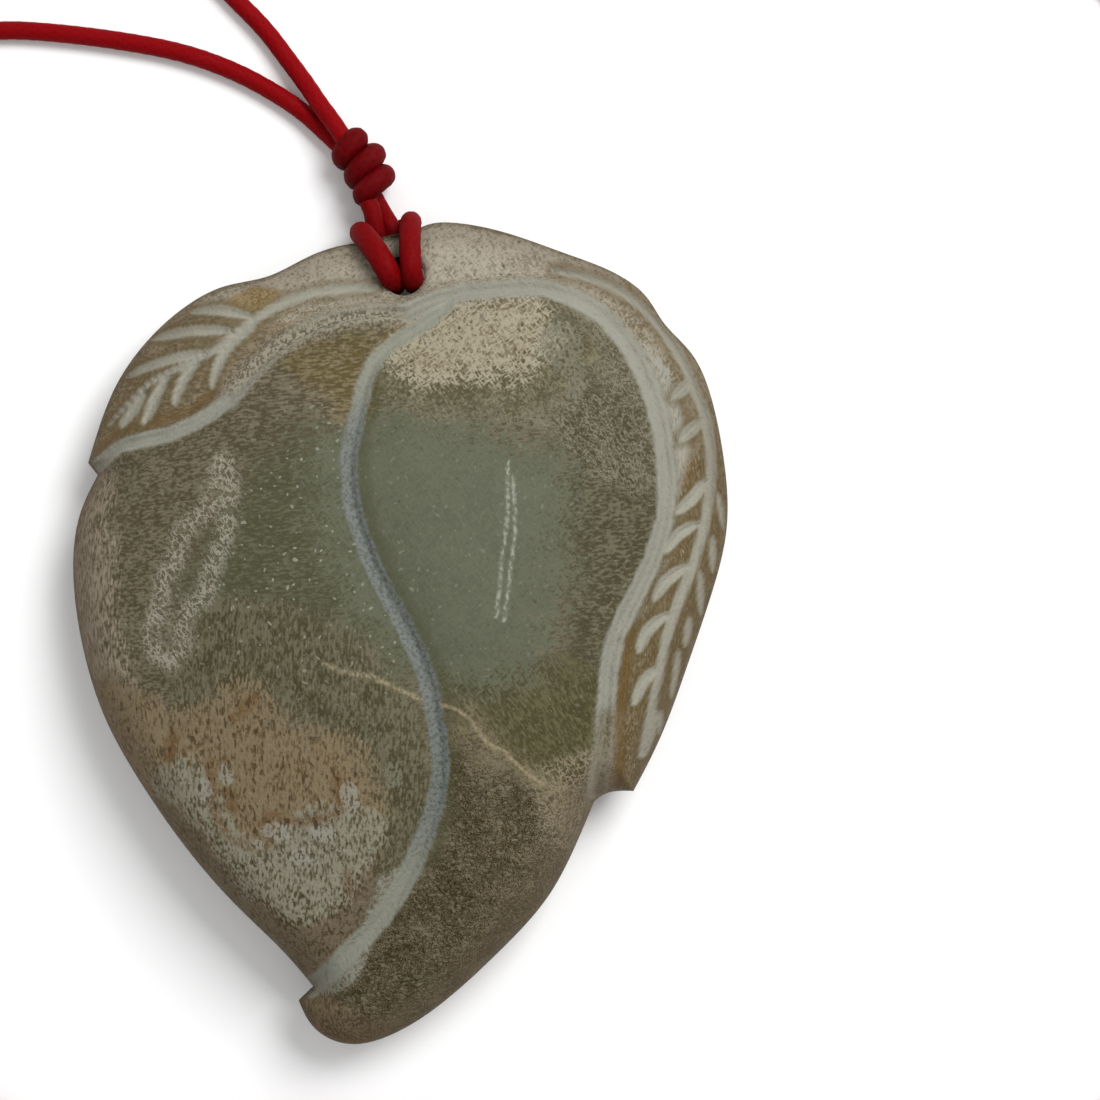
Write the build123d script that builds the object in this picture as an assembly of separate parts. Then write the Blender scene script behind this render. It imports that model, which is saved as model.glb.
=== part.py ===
from build123d import *
import math
import os

import numpy as np
from scipy.spatial import Delaunay

# A peach carved from river stone, with two leaves, on a doubled cord that is hitched through a hole
# under its top edge. It lies on its flat back. Millimetres, +Z up, origin in the middle of the back.

# Stone, overall
stone_width = 55.5
stone_length = 69.7
belt_height = 5.0  # where the outline is widest
shoulder_rise = 3.0  # the front just inside its rounded edge, above the belt
crown_rise = 7.0  # what the dome adds in the middle
front_round = 4.2  # how far in from the outline the front stays rounded
back_round = 4.0

# Cord
cord_diameter = 1.6
knot_looseness = 0.2  # two strands and this make the knot's waist
knot_bulge = 0.25  # how far a wrap stands out from the waist
knot_wraps = 3

# Stone, the neck that the cord is hitched round
hole_play = 0.5  # the hole is this much wider than two strands
hole_across = 0.4  # from the middle line
hole_below_top = 4.7  # from the top of the outline to the hole's middle
neck_core = 6.0  # the neck is at its thinnest this far round the hole's middle
neck_reach = 19.0  # and as thick as the rest from here on
neck_thinning = 1.1  # taken off the front
strand_clearance = 1.0  # over a strand of cord that lies under the neck

# Stone, relief: each groove's width where it starts and where it ends, and its depth
leaf_drop = 1.2  # the leaves lie this much below the fruit
leaf_slope = 1.6  # over this distance
cleft_valley_width = 9.0
cleft_valley_depth = 0.5
cleft_width = (1.5, 2.3)
cleft_depth = 0.85
left_border_width = (1.5, 1.7)
left_border_depth = 0.7
right_border_width = (2.2, 2.0)
right_border_depth = 0.9
rib_width = (0.9, 0.8)
rib_depth = 0.45
vein_width = (0.9, 0.6)
vein_depth = 0.4

# Facets of the stone
rim_step = 1.7
row_step = 1.4
vein_step = 0.8
field_step = 2.7
round_shares = (0.05, 0.2, 0.5, 1.0)  # rows round the edge, as shares of the rounding
hole_sides = 14
hole_apron = 1.0  # a ring of corners this far outside the hole
least_gap = 0.33  # between two corners
rim_gap = 0.15  # between the outline and the first corner inside it
groove_fade = 1.0  # grooves run out over this distance at the outline

# Places on the stone are percent of half its width, to the right, and of half its length, up.
# Each list is one stretch of the outline between two sharp corners, clockwise from the left leaf's tip.
outline_stretches = [
    [
        (-95.5, 41.5), (-93, 48), (-86.5, 61), (-76.5, 72), (-65, 80), (-54, 84.5), (-40.5, 87),
        (-27.5, 92), (-14.5, 95), (-9, 95.5), (-3.5, 96.2), (1.5, 97.2), (5, 98.4), (8.5, 99.6), (17.5, 100), (33, 97.5), (51, 92.5),
        (66.5, 87.5), (76, 81.5), (80.5, 76), (89, 68.5), (95.5, 57), (99, 43.5), (100, 25), (96, 11),
        (88, -8), (80, -25), (75.5, -32.5), (71.5, -38.5),
    ],
    [(71.5, -38.5), (62, -39.5), (59.5, -41)],
    [
        (59.5, -41), (55, -49.5), (45.5, -64), (30.5, -77.5), (15.5, -88.5), (-1.5, -97.5),
        (-17, -100), (-27, -95.5), (-31, -89.5),
    ],
    [(-31, -89.5), (-26.5, -86)],
    [
        (-26.5, -86), (-35, -78), (-49, -67), (-64.5, -53), (-79.5, -36), (-90.5, -20), (-97.5, -1.5),
        (-100, 15.5), (-97.5, 30), (-92.5, 38.5),
    ],
    [(-92.5, 38.5), (-95.5, 41.5)],
]
cleft_line = [
    (11, 75.5), (1.5, 71), (-7, 64.5), (-10.5, 55.5), (-13.5, 41), (-11.5, 28.5), (-4.5, 14), (3, 2.5),
    (9, -8.5), (12.5, -21), (13.5, -32), (10.5, -44), (5.5, -53.5), (-1.5, -64), (-11, -73),
    (-22.5, -82.5), (-26.5, -86),
]
left_border_line = [
    (-92.5, 40), (-82.5, 45.5), (-71, 47.5), (-61.5, 50), (-53, 54), (-47, 58.5), (-41.5, 64),
    (-30, 71.5), (-12.5, 76.5), (-2.5, 78),
]
right_border_line = [
    (2.5, 77), (10, 80), (20, 82), (31.5, 83), (41, 83.5), (50, 82), (62.5, 76), (72.5, 65.5),
    (78.5, 52.5), (81, 37), (78, 21), (71.5, 9.5), (65.5, -0.5), (63, -12.5), (62, -25), (59.5, -38),
]
rib_lines = {
    "left": [(-7, 83.5), (-23.5, 82.5), (-42, 76.5), (-56.5, 68), (-75.5, 60.5), (-88.5, 50.5)],
    "right": [
        (47, 88), (56.5, 86.5), (72, 80.5), (79.5, 74.5), (90, 59.5), (95, 44.5), (93.5, 29.5),
        (89.5, 17.5), (83.5, 5), (77.5, -14), (73.5, -29.5),
    ],
}
vein_lines = [
    # beside the rib, at the leaf's edge
    [(-43, 76), (-63, 77.5)],
    [(-51, 72.5), (-73, 71.5)],
    [(-58, 66.5), (-81, 64)],
    [(-43, 73.5), (-54.5, 59)],
    [(-58, 65.5), (-66.5, 55.5)],
    [(-69, 61.5), (-76, 51)],
    [(-76.5, 58.5), (-83.5, 50.5)],
    [(89, 34), (84, 31.5)],
    [(90, 26.5), (82, 21.5)],
    [(87, 16), (77.5, 10)],
    [(81.5, 5.5), (71.5, -3.5)],
    [(78, -7), (70.5, -16.5)],
]

# The cord's routes are points chosen by hand: right, up, and height over the surface it lies on.
knot_ends = [(-2.25, 37.45, 2.4), (-4.75, 42.2, 2.0)]  # towards the stone, and away from it
hitch_route = [
    (-2.93, 37.13, 3.18),
    (-2.45, 36.19, 3.26),
    (-2.18, 34.25, 3.05),
    (-1.3, 32.8, 1.75),
    (-0.42, 29.7, 1.0),
    (-0.42, 29.7, 8.6),
    (-2.0, 32.2, 8.05),
    (-3.6, 34.25, 5.3),
    (-3.8, 34.1, 0.82),
    (1.0, 34.8, 0.82),
    (0.92, 35.3, 5.4),
    (0.95, 32.7, 8.1),
    (1.2, 29.7, 8.6),
    (1.2, 29.7, 1.0),
    (0.3, 32.8, 1.75),
    (-0.66, 34.45, 2.65),
    (-1.85, 36.39, 1.7),
    (-2.33, 37.31, 1.62),
]
neck_route = [
    (-5.42, 42.0, 1.22),
    (-6.7, 43.2, 1.09),
    (-8.5, 44.9, 0.9),
    (-11.0, 46.6, 0.82),
    (-14.5, 48.5, 0.82),
    (-18.9, 50.1, 0.82),
    (-24.2, 51.1, 0.82),
    (-29.8, 51.8, 0.82),
    (-34.6, 52.1, 0.82),
    (-37.7, 51.6, 0.82),
    (-40.0, 49.6, 0.82),
    (-41.1, 46.1, 0.82),
    (-41.1, 38.8, 0.82),
    (-40.0, 24.5, 0.82),
    (-38.9, 2.7, 0.82),
    (-38.6, -17.2, 0.82),
    (-38.6, -29.6, 0.82),
    (-38.5, -35.2, 0.82),
    (-38.2, -38.6, 0.82),
    (-36.6, -41.5, 0.82),
    (-33.6, -43.1, 0.82),
    (-30.2, -43.4, 0.82),
    (-24.8, -43.2, 0.82),
    (-10.9, -42.7, 0.82),
    (13.6, -42.8, 0.82),
    (35.0, -42.8, 0.82),
    (49.0, -43.2, 0.82),
    (55.2, -43.4, 0.82),
    (58.6, -43.1, 0.82),
    (61.4, -41.5, 0.82),
    (63.0, -38.7, 0.82),
    (63.3, -35.3, 0.82),
    (63.1, -29.2, 0.82),
    (62.5, -15.4, 0.82),
    (62.2, 9.1, 0.82),
    (62.5, 30.7, 0.82),
    (63.0, 43.8, 0.82),
    (63.2, 49.7, 0.82),
    (62.9, 53.1, 0.82),
    (61.3, 56.0, 0.82),
    (58.4, 57.6, 0.82),
    (55.0, 57.9, 0.82),
    (49.0, 57.7, 0.82),
    (34.9, 57.0, 0.82),
    (16.2, 57.9, 0.82),
    (6.7, 59.6, 0.82),
    (1.5, 61.8, 0.82),
    (-2.5, 65.0, 0.82),
    (-7.1, 67.7, 0.82),
    (-12.2, 68.3, 0.82),
    (-16.5, 66.3, 0.82),
    (-18.6, 62.5, 0.82),
    (-17.8, 58.5, 0.82),
    (-15.0, 55.2, 0.82),
    (-11.95, 52.2, 0.82),
    (-9.95, 49.5, 0.9),
    (-8.25, 47.2, 1.5),
    (-7.1, 45.4, 2.2),
    (-5.8, 43.7, 2.65),
    (-4.89, 42.26, 2.78),
]


def place(row):
    """The place on the stone of a row of percentages."""
    return np.array([row[0] * stone_width / 200, row[1] * stone_length / 200])


def curve_points(rows, step):
    """Points about a step apart along the smooth curve through the rows."""
    places = [tuple(place(row)) for row in rows]
    edge = Spline(*places) if len(places) > 2 else Line(*places)
    count = max(1, round(edge.length / step))
    return np.array([(p.X, p.Y) for p in (edge @ (i / count) for i in range(count + 1))])


def smooth(share):
    """A soft step from 0 to 1."""
    share = np.clip(share, 0, 1)
    return share * share * (3 - 2 * share)


def along_line(points, line):
    """For each point, its distance from the line and how far along the line it is, from 0 to 1."""
    start, run = line[:-1], np.diff(line, axis=0)
    length = np.linalg.norm(run, axis=1)
    offset = points[:, None] - start
    share = np.clip((offset * run).sum(2) / length**2, 0, 1)
    gap = np.linalg.norm(offset - share[..., None] * run, axis=2)
    nearest = gap.argmin(1)
    each = np.arange(len(points))
    passed = np.concatenate([[0], np.cumsum(length)])
    return gap[each, nearest], (passed[nearest] + share[each, nearest] * length[nearest]) / passed[-1]


def inside(points, loop):
    """Which points a closed loop of corners goes round."""
    a, b = loop, np.roll(loop, -1, axis=0)
    x, y = points[:, None, 0], points[:, None, 1]
    crosses = (a[:, 1] > y) != (b[:, 1] > y)
    rise = np.where(b[:, 1] == a[:, 1], 1, b[:, 1] - a[:, 1])
    return (crosses & (x < a[:, 0] + (y - a[:, 1]) * (b[:, 0] - a[:, 0]) / rise)).sum(1) % 2 == 1


rim = np.concatenate([curve_points(rows, rim_step)[:-1] for rows in outline_stretches])
closed_rim = np.vstack([rim, rim[:1]])
hole_middle = np.array([hole_across, stone_length / 2 - hole_below_top])
hole_radius = cord_diameter + hole_play / 2
hole_angles = np.arange(hole_sides) * 2 * math.pi / hole_sides
hole_circle = np.stack([np.cos(hole_angles), np.sin(hole_angles)], axis=1)
hole_ring = hole_middle + hole_radius * hole_circle

# Every groove as its line, its widths at the start and the end, and its depth
grooves = [
    (curve_points(cleft_line, row_step), cleft_width, cleft_depth),
    (curve_points(left_border_line, row_step), left_border_width, left_border_depth),
    (curve_points(right_border_line, row_step), right_border_width, right_border_depth),
]
grooves += [(curve_points(rows, vein_step), rib_width, rib_depth) for rows in rib_lines.values()]
grooves += [(curve_points(rows, vein_step), vein_width, vein_depth) for rows in vein_lines]
cleft = grooves[0][0]
leaf_line = curve_points(left_border_line + right_border_line, row_step)
fruit_edge = np.array([place(row) for stretch in outline_stretches[2:5] for row in stretch])
fruit_loop = np.vstack([leaf_line, fruit_edge])


def edge_rounding(edge_gap, width):
    """A quarter of an ellipse, from 0 at the outline to 1 at a width inside it."""
    return np.sqrt(1 - (1 - np.clip(edge_gap / width, 0, 1)) ** 2)


def neck_share(points):
    """How much each point belongs to the thin neck round the hole."""
    hole_gap = np.linalg.norm(points - hole_middle, axis=1)
    return smooth((neck_reach - hole_gap) / (neck_reach - neck_core))


def front_height(points):
    """The carved front of the stone over each point."""
    edge_gap, _ = along_line(points, closed_rim)
    spread = ((points / (stone_width / 2, stone_length / 2)) ** 2).sum(1)
    rise = shoulder_rise + crown_rise * np.clip(1 - spread, 0, 1)
    leaf_gap, _ = along_line(points, leaf_line)
    rise -= leaf_drop * smooth(leaf_gap / leaf_slope) * ~inside(points, fruit_loop)
    rise -= neck_thinning * neck_share(points)
    cleft_gap, _ = along_line(points, cleft)
    valley = cleft_valley_depth * smooth(1 - 2 * cleft_gap / cleft_valley_width)
    cut = np.zeros(len(points))
    for line, (first, last), depth in grooves:
        gap, share = along_line(points, line)
        half = (first + (last - first) * share) / 2
        cut = np.maximum(cut, depth * (1 - np.clip(gap / half, 0, 1) ** 2) ** 2)
    relief = (valley + cut) * np.clip(edge_gap / groove_fade, 0, 1)
    return belt_height + rise * edge_rounding(edge_gap, front_round) - relief


def back_height(points):
    """The back: flat on the surface, rounded at the edge and lifted at the neck."""
    edge_gap, _ = along_line(points, closed_rim)
    lift = (cord_diameter + strand_clearance) * neck_share(points)
    return belt_height - (belt_height - lift) * edge_rounding(edge_gap, back_round)


def rows_inside_rim(depth):
    """The rim's points moved inwards by one depth, without those that would crowd a corner."""
    side = np.roll(closed_rim[:-1], -1, axis=0) - np.roll(closed_rim[:-1], 1, axis=0)
    inward = np.stack([side[:, 1], -side[:, 0]], axis=1) / np.linalg.norm(side, axis=1)[:, None]
    moved = rim + depth * inward
    gap, _ = along_line(moved, closed_rim)
    return moved[(gap > 0.9 * depth) & inside(moved, rim)]


def rows_beside(line, offset):
    """The points of a line moved sideways."""
    side = np.gradient(line, axis=0)
    normal = np.stack([-side[:, 1], side[:, 0]], axis=1) / np.linalg.norm(side, axis=1)[:, None]
    return line + offset * normal


def surface(groups, height):
    """Corners and triangles of one side of the stone, inside its rim and outside its hole."""
    flat = np.vstack([rim, hole_ring])
    loose = np.vstack(groups)
    gap, _ = along_line(loose, closed_rim)
    hole_gap = np.linalg.norm(loose - hole_middle, axis=1)
    keep = inside(loose, rim) & (gap > rim_gap) & (hole_gap > hole_radius + least_gap)
    for point in loose[keep]:
        if np.linalg.norm(flat - point, axis=1).min() > least_gap:
            flat = np.vstack([flat, point])
    triangles = Delaunay(flat).simplices
    middles = flat[triangles].mean(1)
    triangles = triangles[inside(middles, rim) & ~inside(middles, hole_ring)]
    heights = height(flat)
    heights[: len(rim)] = belt_height
    return np.column_stack([flat, heights]), triangles


def field(step):
    """A plain grid of staggered points over the stone."""
    rows = []
    for i, y in enumerate(np.arange(-stone_length / 2, stone_length / 2, step * math.sqrt(3) / 2)):
        xs = np.arange(-stone_width / 2 + (i % 2) * step / 2, stone_width / 2, step)
        rows.append(np.column_stack([xs, np.full(len(xs), y)]))
    return np.vstack(rows)


def carved_stone():
    """The stone as one solid of flat facets: its front, its back and the wall of its hole."""
    lips = []
    for line, (first, last), _ in grooves:
        half = (first + last) / 4
        lips += [line, rows_beside(line, half), rows_beside(line, -half)]
    front_rows = [rows_inside_rim(share * front_round) for share in round_shares]
    back_rows = [rows_inside_rim(share * back_round) for share in round_shares]
    apron = hole_middle + (hole_radius + hole_apron) * hole_circle
    front, front_triangles = surface([*lips, *front_rows, apron, field(field_step)], front_height)
    back, back_triangles = surface([*back_rows, apron, field(2 * field_step)], back_height)
    faces = [Face(Wire.make_polygon(front[t])) for t in front_triangles]
    faces += [Face(Wire.make_polygon(back[t])) for t in back_triangles]
    for i in range(hole_sides):
        a, b = len(rim) + i, len(rim) + (i + 1) % hole_sides
        faces.append(Face(Wire.make_polygon([front[a], front[b], back[b], back[a]])))
    return Solid(Shell(faces))


def bend_radii(route):
    """The largest radius at each bend of a route that leaves a little straight between the bends."""
    runs = np.diff(np.array(route), axis=0)
    lengths = np.linalg.norm(runs, axis=1)
    cosines = (runs[:-1] * runs[1:]).sum(1) / (lengths[:-1] * lengths[1:])
    half_turns = np.arccos(np.clip(cosines, -1, 1)) / 2
    return 0.45 * np.minimum(lengths[:-1], lengths[1:]) / np.tan(half_turns)


def cord_tube(name, route):
    """A length of cord along a route of straight runs and arcs."""
    radii = bend_radii(route)
    path = FilletPolyline(*route, radius=list(radii))
    tube = sweep(Plane(origin=path @ 0, z_dir=path % 0) * Circle(cord_diameter / 2), path=path)
    share = tube.volume / (math.pi * cord_diameter**2 / 4 * path.length)
    print(name, "long", round(path.length, 1), "volume share", round(share, 4))
    print(name, "radii in diameters", np.round(radii / cord_diameter, 1))
    return tube.solid()


def tied_knot():
    """The knot's outer shape: a waist with a round wrap bulging from it three times."""
    low, high = Vector(*knot_ends[0]), Vector(*knot_ends[1])
    length = (high - low).length
    waist = cord_diameter + knot_looseness / 2
    crest = waist + knot_bulge
    wrap = length / knot_wraps
    edges = [Line((0, 0), (waist, 0))]
    for i in range(knot_wraps):
        start = i * wrap
        edges.append(ThreePointArc((waist, start), (crest, start + wrap / 2), (waist, start + wrap)))
    edges += [Line((waist, length), (0, length)), Line((0, length), (0, 0))]
    profile = Plane.XZ * make_face(Wire(edges))
    return Plane(origin=low, z_dir=high - low) * revolve(profile, Axis.Z)


def report(name, solid):
    box = solid.bounding_box()
    print(name, "valid", solid.is_valid, "volume", round(solid.volume, 1), "size", box.size)


pieces = {
    "stone": carved_stone(),
    "hitch": cord_tube("hitch", hitch_route),
    "knot": tied_knot(),
    "neck_cord": cord_tube("neck_cord", neck_route),
}
os.makedirs("parts", exist_ok=True)
for node, solid in pieces.items():
    report(node, solid)
    export_step(solid, f"parts/{node}.step")
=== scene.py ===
import bpy
import numpy as np
from itertools import product
from math import pi, radians
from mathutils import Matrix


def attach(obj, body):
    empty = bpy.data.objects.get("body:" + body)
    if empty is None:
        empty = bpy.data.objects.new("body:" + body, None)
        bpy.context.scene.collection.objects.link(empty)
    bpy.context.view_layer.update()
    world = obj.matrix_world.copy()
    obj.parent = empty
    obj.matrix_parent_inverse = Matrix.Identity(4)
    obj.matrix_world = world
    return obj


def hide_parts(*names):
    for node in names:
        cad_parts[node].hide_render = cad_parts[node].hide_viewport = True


# A peach carved from river stone lies on its back, and a red cord is hitched through its neck.
# Shapes are worked out in millimetres and go into their meshes in metres.

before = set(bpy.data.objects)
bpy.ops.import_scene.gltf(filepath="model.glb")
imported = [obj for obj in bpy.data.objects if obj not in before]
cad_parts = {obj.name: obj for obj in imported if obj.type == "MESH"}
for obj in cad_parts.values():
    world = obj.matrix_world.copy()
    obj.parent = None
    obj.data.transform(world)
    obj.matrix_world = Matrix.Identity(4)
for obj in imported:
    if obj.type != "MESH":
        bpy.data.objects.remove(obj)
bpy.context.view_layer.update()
scene = bpy.context.scene
scene.view_settings.view_transform = "Standard"
mm = 0.001

# The camera looks straight down from close by
view = {
    "across": 12.75,  # the place under the lens
    "up": 7.055,
    "height": 240.0,
    "frameWidth": 93.5,  # what the frame spans at the height of the stone's outline
    "frameHeight": 5.0,
    "sensor": 36.0,
}
cameraData = bpy.data.cameras.new("camera")
cameraData.sensor_width = view["sensor"]
cameraData.lens = view["sensor"] * (view["height"] - view["frameHeight"]) / view["frameWidth"]
cameraData.clip_start = 0.01
camera = bpy.data.objects.new("camera", cameraData)
camera.location = (view["across"] * mm, view["up"] * mm, view["height"] * mm)
scene.collection.objects.link(camera)
scene.camera = camera
print("camera placed")


def meshObject(name, points, faces, material, smooth=True):
    # points in millimetres and faces as one or more arrays of corner numbers
    mesh = bpy.data.meshes.new(name)
    rows = [row for block in faces for row in block.tolist()]
    mesh.from_pydata((np.asarray(points) * mm).tolist(), [], rows)
    if smooth:
        mesh.shade_smooth()
    mesh.update()
    piece = bpy.data.objects.new(name, mesh)
    scene.collection.objects.link(piece)
    piece.data.materials.append(material)
    return piece


def giveAttribute(piece, name, values):
    # one number for each corner, for the finish to read
    layer = piece.data.attributes.new(name, "FLOAT", "POINT")
    layer.data.foreach_set("value", np.asarray(values, dtype=np.float32))


def lengths(steps):
    return np.linalg.norm(steps, axis=1)


def lengthAlong(line):
    # how far along a line each of its points is: the sum of the steps before it
    return np.concatenate([[0], np.cumsum(lengths(np.diff(line, axis=0)))])


def ease(share):
    # a soft step: 3 s^2 - 2 s^3 between 0 and 1
    share = np.clip(share, 0, 1)
    return share * share * (3 - 2 * share)


def latticeNoise(points, size, seed):
    # random numbers at the corners of squares of one size, eased between, from -1 to 1
    grid = points / size
    cell = np.floor(grid).astype(np.int64)
    part = grid - cell
    part = part * part * (3 - 2 * part)
    total = np.zeros(len(points))
    for dx, dy in product((0, 1), repeat=2):
        key = (cell[:, 0] + dx) * 73856093 ^ (cell[:, 1] + dy) * 19349663 ^ seed * 83492791
        key = (key * 1103515245 + 12345) & 0x7FFFFFFF
        key = (key ^ key >> 13) * 1274126177 & 0x7FFFFFFF
        weightX = part[:, 0] if dx else 1 - part[:, 0]
        weightY = part[:, 1] if dy else 1 - part[:, 1]
        total += weightX * weightY * (key / 0x3FFFFFFF - 1)
    return total


def wander(points, size, seed):
    # a shift in both directions, each its own noise
    return np.column_stack([latticeNoise(points, size, seed), latticeNoise(points, size, seed + 1)])


class Wire:
    # a socket of one finish: Python's operators on it add Math nodes
    def __init__(self, finish, socket):
        self.finish, self.socket = finish, socket

    def __add__(self, other):
        return self.finish.maths("ADD", self, other)

    def __sub__(self, other):
        return self.finish.maths("SUBTRACT", self, other)

    def __rsub__(self, other):
        return self.finish.maths("SUBTRACT", other, self)

    def __mul__(self, other):
        return self.finish.maths("MULTIPLY", self, other)

    __radd__ = __add__
    __rmul__ = __mul__


class Finish:
    # one material: add() makes any node, and the other methods are short for common ones
    def __init__(self, name, **constants):
        self.material = bpy.data.materials.new(name)
        self.material.use_nodes = True
        self.nodes = self.material.node_tree.nodes
        self.surface = self.nodes["Principled BSDF"]
        for socket, value in constants.items():
            self.surface.inputs[socket.replace("_", " ")].default_value = value

    def add(self, kind, settings=None, sockets=None, output=0):
        node = self.nodes.new("ShaderNode" + kind)
        for key, value in (settings or {}).items():
            setattr(node, key, value)
        for key, value in (sockets or {}).items():
            self.feed(node.inputs[key], value)
        return Wire(self, node.outputs[output])

    def feed(self, socket, value):
        if isinstance(value, Wire):
            self.material.node_tree.links.new(value.socket, socket)
        else:
            socket.default_value = value

    def maths(self, operation, first, second=0.0):
        return self.add("Math", {"operation": operation}, {0: first, 1: second})

    def mix(self, share, low, high):
        return self.add("Mix", {"data_type": "RGBA"}, {0: share, 6: low, 7: high}, 2)

    def between(self, value, low, high):
        # 0 at low, 1 at high, eased
        return self.add("MapRange", {"interpolation_type": "SMOOTHSTEP"}, {0: value, 1: low, 2: high})

    def mask(self, name):
        return self.add("Attribute", {"attribute_name": name}, output=2)

    def grain(self, size, stretch=(1, 1, 1), turn=0, detail=2.0, rough=0.5):
        # noise whose grains are size millimetres, stretched along axes turned by degrees
        place = self.add("TexCoord", output=3)
        turning = {0: place, 2: (0, 0, radians(turn)), 3: stretch}
        turned = self.add("Mapping", {"vector_type": "TEXTURE"}, turning)
        sockets = {"Vector": turned, "Scale": 1 / (size * mm), "Detail": detail, "Roughness": rough}
        return self.add("TexNoise", None, sockets)

    def finish(self, color, roughness=None, height=None, reach=0.1):
        # reach is the bump's height in millimetres
        self.feed(self.surface.inputs["Base Color"], color)
        if roughness is not None:
            self.feed(self.surface.inputs["Roughness"], roughness)
        if height is not None:
            bump = self.add("Bump", None, {"Strength": 1.0, "Distance": reach * mm, "Height": height})
            self.feed(self.surface.inputs["Normal"], bump)
        return self.material


def tint(code, gain=1.0):
    # a colour written as on a screen, made linear
    parts = [int(code[i : i + 2], 16) / 255 for i in (0, 2, 4)]
    return (*[gain * (p / 12.92 if p <= 0.04045 else ((p + 0.055) / 1.055) ** 2.4) for p in parts], 1.0)


def inMetres(rows):
    return [tuple(round(number * mm, 8) for number in row) for row in rows]


# Cord: its routes are those of the solid model
cord = {
    "diameter": 1.6,
    "strands": 8,  # of the braid, each way round
    "stitch": 0.62,
    "swell": 0.045,  # how far a strand on top stands out
    "around": 24,
    "stepNeck": 0.145,
    "stepHitch": 0.1,
    "legThickness": (1.3, 1.17),  # of the hitch's left and right leg over the neck, times the cord's
    "legHeights": (3.5, 2.0),  # from where a leg thickens, and over how much height
    "tail": 0.7,  # how far the strands run on inside the knot
    "red": ("5a0003", "7c0005"),  # painted shade where it is dark, in the knot, and painted light where it is bright
    # painted shade between the braid's strands, darker in the knot and lighter where the cord lies in the
    # open
    "creviceShade": ("440002", "620004"),
    # a pale painted sheen on top of the strands, in patches
    "paintedSheen": "7c1620",
    "shine": 0.06,
    "fibreGrain": 0.12,
    "sheenGrain": 1.4,
    "texture": 0.02,
}
lyingHeight = 0.82  # of the cord's middle line where it lies on the surface
lyingRoute = [
    (-11, 46.6), (-14.5, 48.5), (-18.9, 50.1), (-24.2, 51.1), (-29.8, 51.8), (-34.6, 52.1),
    (-37.7, 51.6), (-40, 49.6), (-41.1, 46.1), (-41.1, 38.8), (-40, 24.5), (-38.9, 2.7), (-38.6, -17.2),
    (-38.6, -29.6), (-38.5, -35.2), (-38.2, -38.6), (-36.6, -41.5), (-33.6, -43.1), (-30.2, -43.4),
    (-24.8, -43.2), (-10.9, -42.7), (13.6, -42.8), (35, -42.8), (49, -43.2), (55.2, -43.4),
    (58.6, -43.1), (61.4, -41.5), (63, -38.7), (63.3, -35.3), (63.1, -29.2), (62.5, -15.4), (62.2, 9.1),
    (62.5, 30.7), (63, 43.8), (63.2, 49.7), (62.9, 53.1), (61.3, 56), (58.4, 57.6), (55, 57.9),
    (49, 57.7), (34.9, 57), (16.2, 57.9), (6.7, 59.6), (1.5, 61.8), (-2.5, 65), (-7.1, 67.7),
    (-12.2, 68.3), (-16.5, 66.3), (-18.6, 62.5), (-17.8, 58.5), (-15, 55.2), (-11.95, 52.2),
]
neckRoute = inMetres([
    (-5.42, 42, 1.22), (-6.7, 43.2, 1.09), (-8.5, 44.9, 0.9),
    *[(x, y, lyingHeight) for x, y in lyingRoute],
    (-9.95, 49.5, 0.9), (-8.25, 47.2, 1.5), (-7.1, 45.4, 2.2), (-5.8, 43.7, 2.65), (-4.89, 42.26, 2.78),
])
hitchRoute = inMetres([
    (-2.93, 37.13, 3.18), (-2.45, 36.19, 3.26), (-2.18, 34.25, 3.05), (-1.3, 32.8, 1.75),
    (-0.42, 29.7, 1), (-0.42, 29.7, 8.6), (-1.85, 32.2, 8.05), (-3.45, 34.25, 5.3), (-3.8, 34.1, 0.82),
    (0.1, 34.8, 1.05), (0.9, 35.1, 2.8), (0.95, 35, 5.8), (0.95, 32.7, 8.1), (1.2, 29.7, 8.6),
    (1.2, 29.7, 1), (0.3, 32.8, 1.75), (-0.66, 34.45, 2.65), (-1.85, 36.39, 1.7), (-2.33, 37.31, 1.62),
])


def routeLine(name, route, step):
    # the route's smooth curve, read back and spaced evenly, in millimetres
    curve = bpy.data.curves.new(name, "CURVE")
    curve.dimensions = "3D"
    line = curve.splines.new("NURBS")
    line.points.add(len(route) - 1)
    line.points.foreach_set("co", np.column_stack([route, np.ones(len(route))]).ravel())
    line.order_u = 3
    line.use_endpoint_u = True
    line.resolution_u = 16
    carrier = bpy.data.objects.new(name, curve)
    scene.collection.objects.link(carrier)
    mesh = bpy.data.meshes.new_from_object(carrier)
    points = np.zeros(3 * len(mesh.vertices))
    mesh.vertices.foreach_get("co", points)
    bpy.data.objects.remove(carrier)
    bpy.data.meshes.remove(mesh)
    return evenly(points.reshape(-1, 3) / mm, step)


def evenly(points, step):
    # the same line with its points one step apart
    passed = lengthAlong(points)
    at = np.linspace(0, passed[-1], round(passed[-1] / step) + 1)
    return np.column_stack([np.interp(at, passed, points[:, i]) for i in range(3)])


def frameAlong(line):
    # at each point the direction and two sides of it, carried on without twist
    ahead = np.gradient(line, axis=0)
    ahead /= lengths(ahead)[:, None]
    side = np.zeros_like(line)
    last = np.cross(ahead[0], (0.3, 0.2, 0.9))
    for i, direction in enumerate(ahead):
        last = last - direction * (last @ direction)
        last /= np.linalg.norm(last)
        side[i] = last
    return ahead, side, np.cross(ahead, side)


def braidHeight(along, around, values):
    # two families of strands wind opposite ways. In each diamond where they cross, one is on top:
    # across itself it is round, and along itself it arches over the other
    spin = values["strands"] * around / 2
    run = pi * along / values["stitch"] / 2
    first, second = spin + run, spin - run
    onTop = (np.floor(first / pi) + np.floor(second / pi)) % 2 == 0
    across = np.abs(np.sin(np.where(onTop, first, second)))
    arch = np.abs(np.sin(np.where(onTop, second, first)))
    return across**0.6 * (0.45 + 0.55 * arch)


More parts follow.
